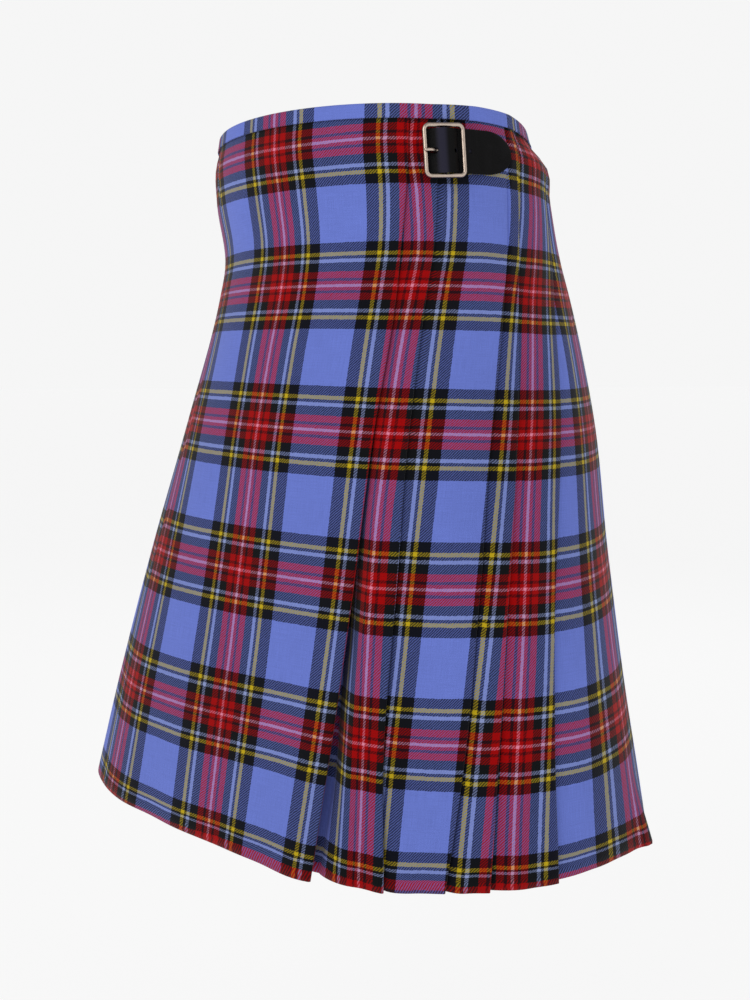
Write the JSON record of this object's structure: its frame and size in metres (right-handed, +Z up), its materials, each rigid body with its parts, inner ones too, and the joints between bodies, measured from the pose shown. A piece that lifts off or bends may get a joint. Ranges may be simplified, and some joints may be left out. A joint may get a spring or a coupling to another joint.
{
  "type": "kilt",
  "caption": "Knee-length wrap skirt of checked wool, flat apron in front, knife pleats round the back, narrow waistband, strapped and buckled at the hips.",
  "frame": {"origin": "centre of the waist opening, level with the top of the waistband", "axes": "+Z up, the wearer's front is -Y, the wearer's left is +X"},
  "size_m": [0.5369, 0.4246, 0.501],
  "materials": {
    "wool_over_apron": "checked wool twill",
    "wool_pleats": "checked wool twill",
    "wool_under_apron": "checked wool twill",
    "wool_waistband": "checked wool twill",
    "leather_left": "black, smooth, semi gloss",
    "metal_left": "pale plated, satin",
    "leather_right": "black, smooth, semi gloss",
    "metal_right": "pale plated, satin"
  },
  "bodies": {
    "root": {"over_apron": "wool_over_apron", "pleated_back": "wool_pleats", "under_apron": "wool_under_apron", "waistband": "wool_waistband", "left_strap": "leather_left", "left_buckle_tab": "leather_left", "left_buckle_frame": "metal_left", "left_buckle_prong": "metal_left", "right_strap": "leather_right", "right_buckle_tab": "leather_right", "right_buckle_frame": "metal_right", "right_buckle_prong": "metal_right"}
  },
  "joints": []
}
